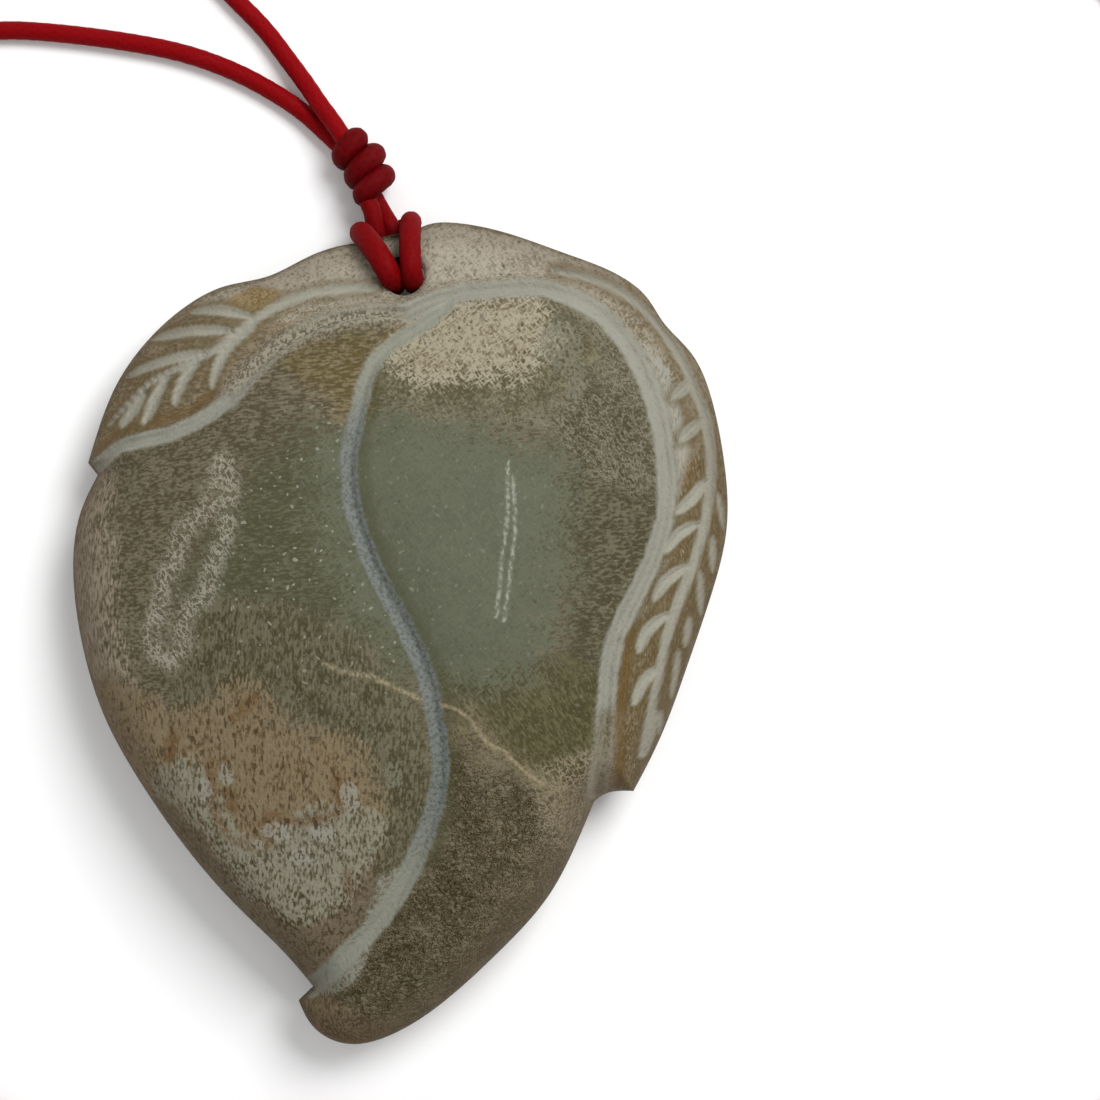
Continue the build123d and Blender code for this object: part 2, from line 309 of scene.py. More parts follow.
def braidedTube(name, line, values, material, paintedLight, thickness=1.0):
    # a ring of points round each point of the line, as far out as the braid is high there; the fifth
    # argument is the share of the brighter red, which is painted light
    ahead, side, other = frameAlong(line)
    count = values["around"]
    around = np.arange(count) * 2 * pi / count
    along = lengthAlong(line)
    height = braidHeight(along[:, None], around[None, :], values)
    radius = values["diameter"] / 2 - values["swell"] * (1 - height)
    radius = radius * np.broadcast_to(thickness, len(line))[:, None]
    cosine, sine = np.cos(around)[None, :, None], np.sin(around)[None, :, None]
    ring = side[:, None] * cosine + other[:, None] * sine
    points = line[:, None] + radius[..., None] * ring
    number = np.arange(len(line) * count).reshape(len(line), count)
    a, b = number[:-1], number[1:]
    quads = np.stack([a, np.roll(a, -1, 1), np.roll(b, -1, 1), b], axis=-1).reshape(-1, 4)
    ends = [len(number) * count, len(number) * count + 1]
    first = np.column_stack([np.roll(number[0], -1), number[0], np.full(count, ends[0])])
    last = np.column_stack([number[-1], np.roll(number[-1], -1), np.full(count, ends[1])])
    points = np.vstack([points.reshape(-1, 3), line[:1], line[-1:]])
    piece = meshObject(name, points, [quads, first, last], material)
    giveAttribute(piece, "braid", np.concatenate([height.ravel(), [0.5, 0.5]]))
    giveAttribute(piece, "paintedLight", np.full(len(points), paintedLight))
    return piece


def cordFinish(values):
    # painted shade between the braid's strands, with a faint pale painted sheen on top of them
    shades = Finish("red braid", Specular_IOR_Level=values["shine"])
    lift = shades.mask("braid")
    fibre = shades.grain(values["fibreGrain"], detail=3.0)
    wearAndSheen = shades.between(shades.grain(values["sheenGrain"]), 0.45, 0.75)
    # the red is lighter on the strands that lie in the open and darker in the knot: painted light and
    # painted shade
    paintedLight = shades.mask("paintedLight")
    creviceShade, red = [shades.mix(paintedLight, *map(tint, values[name])) for name in ("creviceShade", "red")]
    # painted shade where the braid is low, between its strands
    color = shades.mix(shades.between(lift, 0.05, 0.6), creviceShade, red)
    # painted sheen: pale patches on the highest parts of the braid
    color = shades.mix(wearAndSheen * lift * 0.2, color, tint(values["paintedSheen"]))
    rough = 0.55 + 0.2 * fibre
    return shades.finish(color, rough, fibre, values["texture"])


def longer(line, more):
    # the line carried straight on past both its ends
    outwards = line[[0, -1]] - line[[2, -3]]
    first, last = line[[0, -1]] + outwards / lengths(outwards)[:, None] * more
    return np.vstack([first, line, last])


cordMaterial = cordFinish(cord)
neckLine = routeLine("neck route", neckRoute, cord["stepNeck"])
hitchLine = routeLine("hitch route", hitchRoute, cord["stepHitch"])
neckTube = evenly(longer(neckLine, cord["tail"]), cord["stepNeck"])
neckPiece = braidedTube("neckCord", neckTube, cord, cordMaterial, 1.0)
hitchTube = evenly(longer(hitchLine, cord["tail"]), cord["stepHitch"])
legShare = np.where(hitchTube[:, 0] < 0, *cord["legThickness"])
legStart, legRise = cord["legHeights"]
legShare = 1 + (legShare - 1) * ease((hitchTube[:, 2] - legStart) / legRise)
hitchPiece = braidedTube("cordHitch", hitchTube, cord, cordMaterial, 0.5, legShare)
print("cord laid", len(neckLine), "and", len(hitchLine), "rings")

# Knot: the cord wound round its own two strands, as a coil along an axis that bows a little
knot = {
    "low": (-2.25, 37.45, 2.4),
    "high": (-4.75, 42.2, 2.25),
    "turns": 2.5,
    "startTurn": 0.5,
    "wrapRadius": (1.2, 1.1),  # of the coil's own line, at the low and the high end
    "ends": (0.25, 0.15),  # from each end of the knot to the coil
    "bow": 0.45,
    "steps": 260,
    "tuck": 0.5,  # the coil's ends run in to this share of its radius
    "thickness": 1.3,
}


def knotLine(values):
    # a helix round the axis whose ends curl inwards
    low, high = np.array(values["low"]), np.array(values["high"])
    length = np.linalg.norm(high - low)
    axis = (high - low) / length
    side = np.cross(axis, (0, 0, 1))
    side /= np.linalg.norm(side)
    up = np.cross(side, axis)
    share = np.linspace(0, 1, values["steps"])
    turn = 2 * pi * (values["startTurn"] - values["turns"] * share)
    fromEnd = np.minimum(share, 1 - share) * values["turns"]
    tucked = 1 - values["tuck"] * (1 - ease(fromEnd / 0.15))
    radius = np.interp(share, (0, 1), values["wrapRadius"]) * tucked
    travel = values["ends"][0] + (length - sum(values["ends"])) * share
    around = side * np.cos(turn)[:, None] + up * np.sin(turn)[:, None]
    bow = side * (values["bow"] * np.sin(pi * share))[:, None]
    return low + axis * travel[:, None] + around * radius[:, None] + bow


knotTube = evenly(knotLine(knot), cord["stepHitch"])
knotPiece = braidedTube("cordKnot", knotTube, cord, cordMaterial, 0.0, knot["thickness"])
print("knot tied")

# Stone: outline, carving and dome. Places on it are percent of half its width, to the right,
# and of half its length, up
stone = {
    "halfWidth": 27.75,
    "halfLength": 34.85,
    "belt": 5.0,  # the height of the outline
    "shoulder": 3.0,  # how far the front rises at its edge, and more towards the middle
    "crown": 7.0,
    "frontRound": 4.2,  # widths of the rounded edges
    "backRound": 4.0,
    "leafDrop": 1.2,  # how much lower the leaves lie, and how wide the step down is
    "leafSlope": 1.6,
    "valleyWidth": 9.0,  # of the soft valley that the cleft runs in
    "valleyDepth": 0.5,
    "holeMiddle": (0.4, 30.2),
    "holeRadius": 1.75,
    "holeLip": 0.45,
    "neckCore": 6.0,  # round the hole the stone is thinner: fully so up to here, then less
    "neckReach": 19.0,
    "neckThinning": 1.1,
    "neckLift": 2.6,
    "groovesFade": 0.6,  # at the outline
    "ragged": ((0.12, 1.1), (0.06, 0.5)),  # how much the grooves' width varies, and over what size
    "wander": (0.06, 2.6),  # how far the grooves stray, and over what size
    "uneven": ((0.07, 4.5), (0.035, 1.9), (0.02, 0.7)),  # of the surface, heights and sizes
    "edgeBand": 3.5,  # how far in the stone is browner, and how far it takes the back's colour, darkened partly as painted shade
    "underBand": 0.6,
    "outlineCount": 1024,
    "middle": (-1.0, 2.0),  # where the rings of the mesh shrink to
    "rimDepths": (0, 0.012, 0.05, 0.11, 0.2, 0.32, 0.47, 0.65, 0.86, 1.1, 1.35, 1.6, 1.85, 2.1),
    "innerRings": 104,
    "thinning": (0.72, 0.36, 0.18, 0.08),  # shares of the way out at which a ring has half the corners
    # rows and columns of faces that the hole takes out, and the ring that makes room for it
    "frontHole": {"rows": 6, "columns": 10, "start": 0.7, "reach": 4.3},
    "backHole": {"rows": 2, "columns": 6, "start": 0.4, "reach": 4.3},
    "wallRows": 6,  # of corners down the hole
    "gain": 0.72,  # of the colours, for the light that the stone's shine adds
    "shine": 0.1,
    "texture": 0.06,
    "strokeGrain": 0.22,  # across the strokes of a look
    "strokeRun": (3.2, 2.5),  # how drawn out they are, and their detail
    "fineGrain": 0.3,
    "waveGrain": 0.5,
    "patinaGrain": 1.8,
    "pitGrain": 0.42,
    "dotCell": 0.75,
    "bed": "5e5741",
    "dot": "a3a594",
    "pit": "46361c",
    # brown painted shade beside the veins
    "veinShade": "665838",
    "cleftDust": ("666a60", "7f8481"),
    "cleftEnds": "9a9b8c",
    "borderDust": "a09f92",
    "veinDust": "aaa899",
    "edge": "65533f",
    # the sides' and back's colours, dark partly as the colour given to them and partly as painted shade
    # on the flank
    "under": ("5d523e", "7f735e"),
}
outlineStretches = [
    [
        (-95.5, 41.5), (-93, 48), (-86.5, 61), (-76.5, 72), (-65, 80), (-54, 84.5), (-40.5, 87),
        (-27.5, 92), (-14.5, 95), (-9, 95.5), (-3.5, 96.2), (1.5, 97.2), (5, 98.4), (8.5, 99.6),
        (17.5, 100), (33, 97.5), (51, 92.5), (66.5, 87.5), (76, 81.5), (80.5, 76), (89, 68.5),
        (95.5, 57), (99, 43.5), (100, 25), (96, 11), (88, -8), (80, -25), (75.5, -32.5), (71.5, -38.5),
    ],
    [(71.5, -38.5), (62, -39.5), (59.5, -41)],
    [
        (59.5, -41), (55, -49.5), (45.5, -64), (30.5, -77.5), (15.5, -88.5), (-1.5, -97.5),
        (-17, -100), (-27, -95.5), (-31, -89.5),
    ],
    [(-31, -89.5), (-26.5, -86)],
    [
        (-26.5, -86), (-35, -78), (-49, -67), (-64.5, -53), (-79.5, -36), (-90.5, -20), (-97.5, -1.5),
        (-100, 15.5), (-97.5, 30), (-92.5, 38.5),
    ],
    [(-92.5, 38.5), (-95.5, 41.5)],
]
# Each group of grooves: width at the start and the end, depth, how pointed its ends are, its lines
grooves = {
    "cleft": (1.2, 1.6, 0.4, 0.0, [[
        (15, 79), (9, 74.8), (1.5, 71), (-7, 64.5), (-10.5, 55.5), (-13.5, 41), (-11.5, 28.5), (-4.5, 14),
        (3, 2.5), (9, -8.5), (12.5, -21), (13.5, -32), (10.5, -44), (5.5, -53.5), (-1.5, -64),
        (-11, -73), (-22.5, -82.5), (-26.5, -86),
    ]]),
    "leftBorder": (1.15, 1.4, 0.7, 0.0, [[
        (-92.5, 40), (-82.5, 45.5), (-71, 47.5), (-61.5, 50), (-53, 54), (-47, 58.5), (-41.5, 64),
        (-30, 71.5), (-12.5, 76.5), (4, 77.5),
    ]]),
    "rightBorder": (1.5, 1.5, 0.9, 0.0, [[
        (2.5, 77), (10, 80), (20, 82), (31.5, 83), (41, 83.5), (50, 82), (62.5, 76), (72.5, 65.5),
        (78.5, 52.5), (81, 37), (78, 21), (71.5, 9.5), (65.5, -0.5), (63, -12.5), (62, -25), (59.5, -38),
    ]]),
    "leftRib": (1.0, 0.3, 0.45, 0.2, [
        [(-7, 83.5), (-23.5, 82.5), (-42, 76.5), (-56.5, 68), (-75.5, 60.5), (-88.5, 50.5)],
    ]),
    "rightRib": (0.9, 0.8, 0.45, 0.2, [[
        (47, 88), (56.5, 86.5), (72, 80.5), (79.5, 74.5), (90, 59.5), (95, 44.5), (93.5, 29.5),
        (89.5, 17.5), (83.5, 5), (77.5, -14), (73.5, -29.5),
    ]]),
    "veins": (0.9, 0.8, 0.4, 0.45, [
        [(-43, 76), (-54, 78.3), (-63.5, 78)],
        [(-50, 73), (-62, 73.2), (-76, 71.5)],
        [(-56, 68), (-68, 66.5), (-83, 62.5)],
        [(-43, 74), (-50, 70), (-54, 65), (-56, 59)],
        [(-60, 66), (-63.5, 63), (-66, 59), (-67.5, 55)],
        [(-69.5, 62.5), (-73, 58), (-75.5, 53.5), (-77.5, 50.5)],
        [(-77, 58.5), (-80.5, 54.5), (-84.5, 50)],
    ]),
    "lowVeins": (0.95, 0.95, 0.4, 0.5, [
        [(83, 57), (86, 59), (90, 62.5)],
        [(85.5, 46.5), (88.5, 49), (92.5, 52)],
        [(84, 29), (88, 32), (93.3, 37.2)],
        [(80.5, 19.5), (85, 24), (91.2, 26.8)],
        [(77, 8), (81, 13), (88.2, 16.8)],
        [(72.5, -4.3), (76, 1.5), (82.3, 5.2)],
        [(71, -16.8), (74, -11.5), (78, -7.8)],
        [(74.6, -30), (76, -24), (78.2, -18)],
    ]),
    "outerVeins": (0.6, 0.5, 0.3, 0.4, [
        [(97, 34), (99.5, 25)],
        [(95.5, 23.5), (95.5, 15)],
        [(91.5, 15), (92, 4.5)],
        [(88.5, 4), (87, -3)],
        [(85, -4), (83, -15.5)],
        [(79.5, -18.5), (79.5, -24.5)],
    ]),
}


def placed(rows, values):
    # places in percent made millimetres
    return np.array(rows, dtype=float) * (values["halfWidth"] / 100, values["halfLength"] / 100)


def smoothLine(rows, values, count=0, step=1.0):
    # the natural cubic spline through the rows, its points evenly spaced along it
    corners = placed(rows, values)
    gap = lengths(np.diff(corners, axis=0))
    system = np.eye(len(corners))
    target = np.zeros_like(corners)
    inner = np.arange(1, len(corners) - 1)
    system[inner, inner - 1] = gap[:-1]
    system[inner, inner] = 2 * (gap[:-1] + gap[1:])
    system[inner, inner + 1] = gap[1:]
    slope = np.diff(corners, axis=0) / gap[:, None]
    target[1:-1] = 6 * np.diff(slope, axis=0)
    bend = np.linalg.solve(system, target)
    passed = np.concatenate([[0], np.cumsum(gap)])
    fine = np.linspace(0, passed[-1], 60 * len(corners))
    span = np.clip(np.searchsorted(passed, fine, side="right") - 1, 0, len(gap) - 1)
    width = gap[span][:, None]
    share = (fine - passed[span])[:, None] / width
    rest = 1 - share
    curved = (rest**3 - rest) * bend[span] + (share**3 - share) * bend[span + 1]
    line = rest * corners[span] + share * corners[span + 1] + width**2 / 6 * curved
    passed = lengthAlong(line)
    at = np.linspace(0, passed[-1], (count or max(1, round(passed[-1] / step))) + 1)
    return np.column_stack([np.interp(at, passed, line[:, i]) for i in range(2)])


def outlinePoints(values):
    # the stretches between sharp corners, each with its share of the points
    rough = [smoothLine(rows, values, step=0.2) for rows in outlineStretches]
    runs = np.array([lengths(np.diff(line, axis=0)).sum() for line in rough])
    counts = np.maximum(1, np.round(runs / runs.sum() * values["outlineCount"])).astype(int)
    counts[0] += values["outlineCount"] - counts.sum()
    pairs = zip(outlineStretches, counts)
    return np.vstack([smoothLine(rows, values, count=n)[:-1] for rows, n in pairs])


def softenLoop(loop, width):
    # gaussian smoothing round a closed loop of complex numbers, width in points
    turns = np.fft.fftfreq(len(loop))
    return np.fft.ifft(np.fft.fft(loop) * np.exp(-2 * (pi * turns * width) ** 2))


def stoneRings(values):
    # rings from the outline to the middle: first each is the last one moved inwards, so that the
    # edge is followed closely, and then they shrink and grow rounder
    loop = outlinePoints(values) @ (1, 1j)
    rings = [loop]
    depths = values["rimDepths"]
    for k in range(1, len(depths)):
        step = depths[k] - depths[k - 1]
        reach = 6 + k // 2
        side = np.roll(loop, -reach) - np.roll(loop, reach)
        loop = softenLoop(loop - 1j * side / abs(side) * step, min(12 * step, 5 * step**0.5))
        rings.append(loop)
    middle = complex(*values["middle"])
    for share in np.linspace(1, 0, values["innerRings"] + 2)[1:-1]:
        softer = softenLoop(loop, 60 * (1 - share) ** 0.7)
        rings.append(middle + (softer - middle) * share)
    rings = np.array(rings)
    return np.stack([rings.real, rings.imag], axis=-1)


def alongLine(points, line):
    # distance from a line, and how far along it, from 0 to 1
    start, run = line[:-1], np.diff(line, axis=0)
    length = lengths(run)
    best = np.full(len(points), 1e9)
    share = np.zeros(len(points))
    passed = np.concatenate([[0], np.cumsum(length)]) / length.sum()
    for i in range(len(run)):
        offset = points - start[i]
        part = np.clip(offset @ run[i] / length[i] ** 2, 0, 1)
        gap = lengths(offset - part[:, None] * run[i])
        nearer = gap < best
        best = np.where(nearer, gap, best)
        share = np.where(nearer, passed[i] + part * (passed[i + 1] - passed[i]), share)
    return best, share


def gapInside(points, outline):
    # how far inside the closed outline each point is
    return alongLine(points, np.vstack([outline, outline[:1]]))[0]


def grooveLine(name, values):
    # the line of a groove that stands alone in its group
    return smoothLine(grooves[name][4][0], values, step=0.8)


def insideLoop(points, loop):
    # which points a closed loop goes round: edges crossed on the way right, odd or even
    crossings = np.zeros(len(points), dtype=int)
    for (ax, ay), (bx, by) in zip(loop, np.roll(loop, -1, axis=0)):
        if ay != by:
            spans = (ay > points[:, 1]) != (by > points[:, 1])
            crossings += spans & (points[:, 0] < ax + (points[:, 1] - ay) * (bx - ax) / (by - ay))
    return crossings % 2 == 1


def patch(points, rows, soft, values):
    # 1 well inside a loop of places, 0 well outside, eased over a soft width
    loop = smoothLine(rows + rows[:1], values, step=0.6)
    gap, _ = alongLine(points, loop)
    return ease(0.5 + np.where(insideLoop(points, loop), gap, -gap) / soft)


def stroke(points, rows, width, values):
    # 1 on a line of places, fading to 0 at half the width
    gap, _ = alongLine(points, smoothLine(rows, values, step=0.5))
    return ease(1 - 2 * gap / width)


def roundedEdge(gap, width):
    # a quarter of an ellipse, from 0 at the outline to 1 at a width inside it
    return np.sqrt(1 - (1 - np.clip(gap / width, 0, 1)) ** 2)


def neckShare(points, values):
    # 1 near the hole, eased to 0 where the neck ends
    gap = lengths(points - values["holeMiddle"])
    return ease((values["neckReach"] - gap) / (values["neckReach"] - values["neckCore"]))


def holeLip(points, values):
    # the hole's worn lip, as a drop at its edge
    gap = lengths(points - values["holeMiddle"]) - values["holeRadius"]
    return values["holeLip"] * (1 - np.clip(gap / (2 * values["holeLip"]), 0, 1)) ** 2


def grooveCuts(points, values):
    # for each group of grooves its cut, a round-bottomed section, as a share of its depth, the dust
    # that lies in it and the band beside it where brown shade is painted
    (more, wide), (less, narrow) = values["ragged"]
    rough = 1 + more * latticeNoise(points, wide, 5) + less * latticeNoise(points, narrow, 6)
    far, size = values["wander"]
    shaken = points + far * wander(points, size, 7)
    cuts, dust, beside = {}, {}, {}
    for name, (first, last, _, pointed, lines) in grooves.items():
        cuts[name], dust[name], beside[name] = np.zeros((3, len(points)))
        for rows in lines:
            gap, share = alongLine(shaken, smoothLine(rows, values, step=0.8))
            half = (first + (last - first) * share) / 2 * rough
            half *= np.maximum(4 * share * (1 - share), 0.02) ** pointed
            cuts[name] = np.maximum(cuts[name], (1 - np.clip(gap / half, 0, 1) ** 2) ** 2)
            dust[name] = np.maximum(dust[name], ease((half - gap) / 0.3 + 0.6))
            beside[name] = np.maximum(beside[name], ease(1.2 - (gap - half) / 0.8))
    return cuts, dust, beside


def frontHeight(points, outline, cuts, masks, values):
    # dome + rounded edge - leaves' drop - neck - cleft's valley - grooves + small unevenness
    edgeGap = gapInside(points, outline)
    spread = ((points / (values["halfWidth"], values["halfLength"])) ** 2).sum(1)
    rise = values["shoulder"] + values["crown"] * np.clip(1 - spread, 0, 1)
    rise -= values["leafDrop"] * masks["offFruit"]
    rise -= values["neckThinning"] * neckShare(points, values)
    cleftGap, _ = alongLine(points, grooveLine("cleft", values))
    relief = values["valleyDepth"] * ease(1 - 2 * cleftGap / values["valleyWidth"])
    deepest = np.max([cut * grooves[name][2] for name, cut in cuts.items()], axis=0)
    relief = (relief + deepest) * np.clip(edgeGap / values["groovesFade"], 0, 1)
    (high, wide), (middling, medium), (low, narrow) = values["uneven"]
    uneven = high * latticeNoise(points, wide, 1) + middling * latticeNoise(points, medium, 2)
    uneven += low * (1 - masks["clear"]) * latticeNoise(points, narrow, 3)
    uneven *= np.clip(edgeGap / 1.5, 0, 1)
    height = values["belt"] + rise * roundedEdge(edgeGap, values["frontRound"])
    return height - relief + uneven - holeLip(points, values)


def backHeight(points, outline, values):
    # flat on the surface, rounded at the edge and lifted at the neck
    edgeGap = gapInside(points, outline)
    lift = values["neckLift"] * neckShare(points, values)
    base = values["belt"] - (values["belt"] - lift) * roundedEdge(edgeGap, values["backRound"])
    return base + holeLip(points, values)


# The stone's looks, laid one over the other: the colour of its ground and of the strokes on it, the
# noise level from which a stroke shows, how the strokes run, how soft the look's edge is in
# millimetres, and its loop of places as above
looks = {
    "left": ("554d39", "7b735e", 0.51, "across", 6.0, [
        (-140, -140), (-140, 140), (140, 140), (140, -140),
    ]),
    # its pale colours are partly the stone's own and partly painted light, lifted to make up for the
    # shade on the side away from the lamp
    "leftEdge": ("7d715d", "a29582", 0.5, "upright", 9.0, [
        (-112, -40), (-110, 40), (-92, 40), (-86, 18), (-83, 0), (-80, -12), (-62, -46), (-34, -74),
        (-80, -62),
    ]),
    "dotted": ("54543c", "6b6b54", 0.55, "across", 10.0, [
        (-55, 28), (-40, 44), (-20, 50), (-12, 30), (0, 10), (8, -6), (-10, -10), (-40, -6), (-62, 4),
    ]),
    "mottled": ("4a462d", "746f58", 0.5, "upright", 5.0, [
        (-66, -2), (-50, 10), (-30, 6), (-10, -2), (4, -14), (12, -26), (12, -42), (4, -56), (-8, -60),
        (-6, -34), (-20, -24), (-40, -16), (-66, -16),
    ]),
    "right": ("4a4530", "6e6b55", 0.53, "across", 8.0, [
        (56, 60), (78, 50), (82, 30), (78, 14), (66, 0), (62, -30), (52, -24), (52, 0), (46, 30),
        (50, 50),
    ]),
    "belowClear": ("4d482b", "696447", 0.52, "slanting", 5.0, [
        (8, -10), (30, -6), (60, -8), (62, -30), (46, -34), (28, -24), (14, -18),
    ]),
    "clear": ("606350", "6a6c59", 0.5, "crossed", 14.0, [
        (-22, 46), (-20, 16), (0, -6), (24, -14), (46, -4), (52, 20), (50, 42), (31, 50), (0, 54),
    ]),
    "yellow": ("60532f", "82765c", 0.53, "across", 8.0, [
        (-38, 66), (-15, 74), (-1, 72), (-6, 58), (-12, 50), (-24, 56),
    ]),
    "topRight": ("57513e", "85816e", 0.58, "wiggly", 8.0, [
        (34, 82), (56, 80), (78, 60), (80, 40), (62, 38), (46, 52), (30, 56),
    ]),
    "creamRim": ("58523a", "827c64", 0.53, "crossed", 8.0, [
        (-8, 66), (8, 80), (50, 80), (60, 62), (40, 54), (8, 53), (-8, 57),
    ]),
    "cream": ("7d7155", "aca38d", 0.46, "crossed", 8.0, [
        (-1, 70), (10, 79), (30, 81), (44, 79), (48, 70), (40, 64), (26, 62), (8, 60), (-4, 64),
    ]),
    "tan": ("634f31", "8b7b60", 0.42, "upright", 6.0, [
        (-100, -12), (-73, -13), (-60, -16), (-52, -12), (-44, -11), (-36, -16), (-26, -22), (-10, -24),
        (-4, -34), (-8, -50), (-20, -64), (-34, -74), (-62, -57), (-86, -34),
    ]),
    "lowTan": ("4f4029", "796c57", 0.43, "upright", 5.0, [
        (-2, -52), (-14, -50), (-34, -54), (-58, -46), (-84, -40), (-62, -64), (-34, -88), (-22, -84),
        (-8, -68),
    ]),
    "crystal": ("5b523c", "96927f", 0.45, "upright", 5.0, [
        (-72, -30), (-58, -30), (-50, -42), (-40, -48), (-30, -42), (-16, -41), (-6, -44), (-8, -56),
        (-18, -62), (-34, -66), (-46, -60), (-60, -46), (-74, -38),
    ]),
    "lowRight": ("362d14", "7c7058", 0.64, "wiggly", 4.0, [
        (14, -20), (28, -28), (46, -38), (56, -52), (44, -70), (24, -88), (0, -100), (-24, -106),
        (-34, -96), (-24, -86), (-8, -74), (6, -60), (13, -46), (16, -34),
    ]),
    "lowRim": ("41361f", "83775f", 0.6, "wiggly", 7.0, [
        (52, -38), (66, -40), (60, -60), (40, -84), (14, -100), (-10, -98), (10, -84), (24, -66),
        (40, -52),
    ]),
    "shoulder": ("5c4f38", "948770", 0.5, "wiggly", 6.0, [
        (44, -34), (58, -29), (66, -38), (62, -52), (48, -50),
    ]),
    "tail": ("53422b", "7b6c53", 0.5, "upright", 4.0, [
        (-40, -92), (-26, -88), (-8, -92), (4, -100), (-20, -112),
    ]),
    "paleEnd": ("756b53", "939386", 0.47, "crossed", 3.0, [
        (-28, -88), (-21, -87), (-8, -76), (1, -66), (6, -58), (1, -57), (-5, -63), (-15, -73),
        (-25, -82),
    ]),
}
# Looks of the leaves and the neck, laid over those of the fruit
leafLooks = {
    "leaf": ("796d55", "aaa18e", 0.49, "crossed", 3.0, [
        (-120, -60), (-120, 110), (120, 110), (120, -60),
    ]),
    "leftLeaf": ("665942", "91836c", 0.5, "across", 4.0, [
        (-96, 40), (-94, 52), (-80, 74), (-60, 82), (-44, 76), (-30, 74), (-44, 60), (-60, 48),
    ]),
    "neck": ("8f8674", "b1a998", 0.46, "crossed", 6.0, [
        (-70, 80), (-40, 90), (-10, 100), (40, 104), (80, 88), (60, 84), (40, 84), (8, 80), (-14, 79),
        (-38, 78),
    ]),
    "rightLeaf": ("5f4e2f", "857960", 0.52, "upright", 4.0, [
        (84, 44), (92, 50), (104, 46), (104, 10), (84, -30), (74, -44), (62, -42), (66, -4), (80, 18),
    ]),
    "innerBand": ("8b8777", "a8a699", 0.42, "upright", 2.5, [
        (36, 85), (57, 82), (69, 75), (77, 69), (83, 62), (87, 54), (88, 46), (86, 36), (85, 30),
        (77, 20), (72, 30), (74, 50), (66, 66), (50, 78), (36, 80),
    ]),
    "hollow": ("806a42", "a38f6a", 0.48, "crossed", 1.5, [
        (-55, 81), (-44, 84), (-34, 83), (-38, 79.5), (-47, 77.5),
    ]),
    "ridge": ("857a67", "b5a896", 0.5, "crossed", 1.5, [
        (-34, 75.5), (-10, 79), (0, 82), (-4, 77), (-18, 73),
    ]),
}
strokes = {
    # name: colour, strength, how whole it is, how it breaks up, how wide, and its lines
    "cleftShade": ("4a4b30", 0.5, 1.0, "upright", 2.6, [[
        (-6, 62), (-8.5, 52), (-10, 41), (-8, 28.5), (-1, 14), (7, 2), (13, -8.5), (16.5, -21),
        (17.5, -32), (14.5, -44), (9.5, -54),
    ]]),
    "patchRim": ("aba595", 0.95, 0.12, "wiggly", 3.2, [[
        (-51, 41.5), (-49, 37), (-49.5, 30), (-50.5, 24.5), (-52.5, 20), (-55, 14.5), (-57, 9.5),
        (-61, 6.5), (-63.5, 2.5), (-63.5, -1.5), (-67.5, -6), (-72, -3), (-72, 3), (-70, 6.5),
        (-68.5, 12.5), (-65.5, 17.5), (-64.5, 23), (-60, 27), (-55.5, 30.5), (-53, 36.5), (-51, 41.5),
    ]]),
    "scratch": ("b0b1a2", 0.9, 0.3, "upright", 0.42, [
        [(33.5, 41), (33.2, 32), (32.4, 22), (31, 5)],
        [(35, 38), (35.2, 28), (35, 18), (33.2, 4)],
    ]),
    "crackGlow": ("8d8064", 0.75, 0.15, "wiggly", 3.4, [
        [(22, -17), (26, -23), (33, -28), (44, -35), (52, -40)],
        [(19, -22), (24, -27), (31, -30)],
    ]),
    "crack": ("ad9f82", 0.9, 0.5, "upright", 0.5, [[
        (-21, -6.5), (-14, -8.5), (-7, -9.5), (2, -12.5), (11.5, -16), (17, -17), (21, -19), (25, -22.5),
        (28.5, -25.5), (32.5, -27), (37, -30.5), (40.5, -33), (44.5, -35),
    ]]),
    "rust": ("6f4c26", 0.8, 0.2, "upright", 1.6, [
        [(-47.9, -48.4), (-42.5, -50.2), (-37.9, -49.6), (-37.2, -42.9), (-32.5, -42.3)],
        [(-30, -43), (-27.2, -43.8), (-21.8, -42.9), (-17.9, -42.3), (-16.4, -33.7)],
        [(-54.4, -30.6), (-53.3, -42.9), (-49.4, -47.8)],
        [(-48.6, -36.8), (-48.3, -41.7)],
        [(-66.4, -23.3), (-67.8, -29.4)],
        [(-41.7, -14.8), (-47.9, -19.1)],
        [(-14, -56), (-13.5, -60)],
        [(-4, 70), (0, 72.5), (3.5, 74)],
    ]),
    "amber": ("6d5327", 0.8, 0.7, "upright", 1.7, [
        [(70.5, 1), (69, -7), (67, -14), (66.5, -24), (67, -36)],
        [(86, 56), (88.5, 50), (88.5, 42), (86.5, 36)],
        [(-92, 45), (-80, 50), (-68, 52), (-60, 54.5), (-54, 59)],
    ]),
    "wearAndSheen": ("a59c8b", 0.95, 0.1, "upright", 3.4, [[
        (-50, 59), (-43, 64), (-34, 70), (-22, 74.5), (-10, 77), (-1, 76.5),
    ]]),
    "wornLow": ("8f8470", 0.95, 0.3, "upright", 3.2, [[(63, -20), (62, -28), (60.5, -39)]]),
}
spots = {
    # name: colour, strength, and the place, half width and half height in millimetres of each
    "crystals": ("9f9d90", 0.75, [
        (-49.4, -33, 0.5, 0.83), (-56.3, -37, 0.58, 1.0), (-13.1, -38.2, 0.75, 1.33),
        (-34.4, -45.6, 1.16, 0.75), (-21.5, -46.4, 1.0, 0.75), (-27.5, -52.3, 0.91, 0.66),
        (-40.4, -49.5, 0.5, 0.5), (-67.4, -5.5, 0.5, 0.5),
    ]),
    "greySpots": ("80806e", 0.6, [(0.4, -33.5, 0.66, 1.16), (49, 69, 1.6, 2.2), (54, 61, 1.0, 1.6)]),
}


